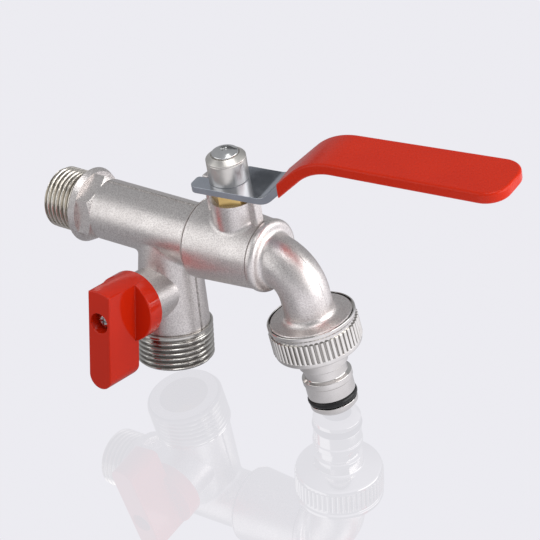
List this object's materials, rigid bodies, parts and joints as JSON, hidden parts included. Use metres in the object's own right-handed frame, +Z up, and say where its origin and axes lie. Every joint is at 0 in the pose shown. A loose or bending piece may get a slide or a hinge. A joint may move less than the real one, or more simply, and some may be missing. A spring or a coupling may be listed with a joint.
{
  "type": "double outlet garden tap",
  "caption": "Garden tap with a lever ball valve to an elbow spout with a hose adaptor, and a tee branch with its own small ball valve.",
  "frame": {"origin": "on the tube's axis, at the shoulder where the inlet thread ends", "axes": "+X along the tube from the inlet to the spout, +Z up along the lever's stem"},
  "size_m": [0.18, 0.066, 0.0995],
  "materials": {
    "cast_nickel": "satin blasted nickel plate on cast brass",
    "turned_nickel": "bright nickel plate on turned brass",
    "bare_brass": "machined brass",
    "ball_plate": "polished chrome plate on brass",
    "lever_steel": "zinc plated sheet steel",
    "screw_steel": "bright zinc plated steel",
    "red_vinyl": "dipped satin vinyl",
    "red_plastic": "glossy moulded plastic",
    "seat_white": "waxy white fluoropolymer",
    "seal_rubber": "matt black rubber"
  },
  "bodies": {
    "body": {"rear_body": "cast_nickel", "front_body": "cast_nickel", "hose_adaptor": "turned_nickel", "gland_nut": "bare_brass", "branch_retainer": "bare_brass", "main_seat_rear": "seat_white", "main_seat_front": "seat_white", "main_stem_thrust_washer": "seat_white", "branch_seat_upper": "seat_white", "branch_seat_lower": "seat_white", "branch_stem_thrust_washer": "seat_white", "body_joint_seal": "seal_rubber", "main_stem_o_ring_lower": "seal_rubber", "main_stem_o_ring_upper": "seal_rubber", "adaptor_washer": "seal_rubber", "adaptor_o_ring": "seal_rubber"},
    "lever": {"lever_plate": "lever_steel", "lever_grip": "red_vinyl", "lever_cap": "turned_nickel", "lever_screw": "screw_steel", "main_stem": "bare_brass", "main_ball": "ball_plate"},
    "handle": {"branch_handle": "red_plastic", "branch_handle_screw": "screw_steel", "branch_stem": "bare_brass", "branch_stem_o_ring": "seal_rubber", "branch_ball": "ball_plate"}
  },
  "joints": [
    {"name": "lever_turn", "type": "hinge", "parent": "body", "child": "lever", "pos_m": [0.0657, 0, 0], "axis": [0, 0, 1], "range_deg": [-7, 83]},
    {"name": "handle_turn", "type": "hinge", "parent": "body", "child": "handle", "pos_m": [0.0346, -0.00344, -0.02031], "axis": [0, 0.986, -0.1668], "range_deg": [-3.8, 86.2]}
  ]
}
